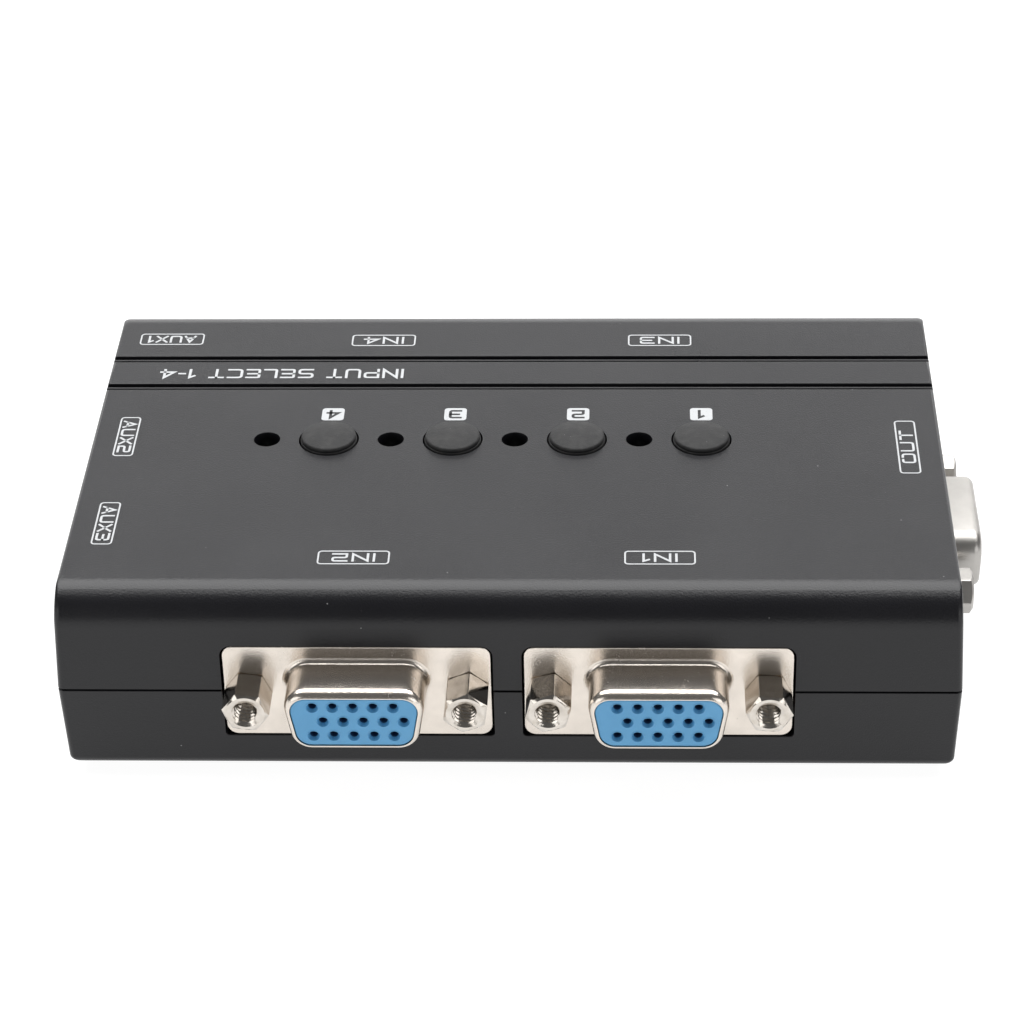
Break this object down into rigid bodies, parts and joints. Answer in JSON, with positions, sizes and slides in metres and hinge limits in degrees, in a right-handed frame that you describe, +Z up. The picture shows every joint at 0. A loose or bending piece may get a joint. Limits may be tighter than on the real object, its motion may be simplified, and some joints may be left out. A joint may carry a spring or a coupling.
{
  "type": "kvm switch",
  "caption": "Flat black desktop KVM switch: VGA sockets on three sides, USB-A sockets, and a row of push buttons with lamps on top.",
  "frame": {"origin": "centre of the case's flat underside panel, 1.2 mm above the surface that the rubber feet stand on", "axes": "+Z up, +X towards the side that holds the video output socket, +Y towards the side that holds the USB 1 socket, so PC sockets 1 and 2 face -Y"},
  "size_m": [0.1077, 0.0772, 0.0265],
  "materials": {
    "case_plastic": "fine spark-eroded texture, matte black",
    "button_plastic": "smooth satin black",
    "nickel": "bright nickel plate, slightly brushed",
    "blue_insulator": "satin moulded blue",
    "black_insulator": "satin moulded black",
    "rubber": "soft matte black",
    "board": "green solder mask",
    "chip": "moulded epoxy, matte black",
    "lamp": "milky moulded lens",
    "screw_steel": "zinc-plated steel"
  },
  "bodies": {
    "case": {"top_cover": "case_plastic", "bottom_cover": "case_plastic", "case_screw_1": "screw_steel", "rubber_foot_1": "rubber", "switch_body_1": "black_insulator", "lamp_1": "lamp", "case_screw_2": "screw_steel", "rubber_foot_2": "rubber", "switch_body_2": "black_insulator", "lamp_2": "lamp", "case_screw_3": "screw_steel", "rubber_foot_3": "rubber", "switch_body_3": "black_insulator", "lamp_3": "lamp", "case_screw_4": "screw_steel", "rubber_foot_4": "rubber", "switch_body_4": "black_insulator", "lamp_4": "lamp", "main_board": "board", "controller_chip": "chip", "usb_hub_chip": "chip", "video_switch_chip_a": "chip", "video_switch_chip_b": "chip", "crystal": "nickel", "capacitor_1": "chip", "capacitor_2": "chip", "pc1_video_shell": "nickel", "pc1_video_insulator": "blue_insulator", "pc1_jack_screw_left": "nickel", "pc1_jack_screw_right": "nickel", "pc2_video_shell": "nickel", "pc2_video_insulator": "blue_insulator", "pc2_jack_screw_left": "nickel", "pc2_jack_screw_right": "nickel", "pc3_video_shell": "nickel", "pc3_video_insulator": "blue_insulator", "pc3_jack_screw_left": "nickel", "pc3_jack_screw_right": "nickel", "pc4_video_shell": "nickel", "pc4_video_insulator": "blue_insulator", "pc4_jack_screw_left": "nickel", "pc4_jack_screw_right": "nickel", "output_video_shell": "nickel", "output_video_insulator": "blue_insulator", "output_jack_screw_left": "nickel", "output_jack_screw_right": "nickel", "usb1_shell": "nickel", "usb1_tongue": "black_insulator", "usb2_shell": "nickel", "usb2_tongue": "black_insulator", "usb3_shell": "nickel", "usb3_tongue": "black_insulator"},
    "button_1": {"button_cap_1": "button_plastic", "switch_plunger_1": "black_insulator"},
    "button_2": {"button_cap_2": "button_plastic", "switch_plunger_2": "black_insulator"},
    "button_3": {"button_cap_3": "button_plastic", "switch_plunger_3": "black_insulator"},
    "button_4": {"button_cap_4": "button_plastic", "switch_plunger_4": "black_insulator"}
  },
  "joints": [
    {"name": "button_1_press", "type": "slide", "parent": "case", "child": "button_1", "axis": [0, 0, -1], "range_m": [0, 0.0004], "stiffness_N_per_m": 1500, "springref_m": -0.0003},
    {"name": "button_2_press", "type": "slide", "parent": "case", "child": "button_2", "axis": [0, 0, -1], "range_m": [0, 0.0004], "stiffness_N_per_m": 1500, "springref_m": -0.0003},
    {"name": "button_3_press", "type": "slide", "parent": "case", "child": "button_3", "axis": [0, 0, -1], "range_m": [0, 0.0004], "stiffness_N_per_m": 1500, "springref_m": -0.0003},
    {"name": "button_4_press", "type": "slide", "parent": "case", "child": "button_4", "axis": [0, 0, -1], "range_m": [0, 0.0004], "stiffness_N_per_m": 1500, "springref_m": -0.0003}
  ]
}
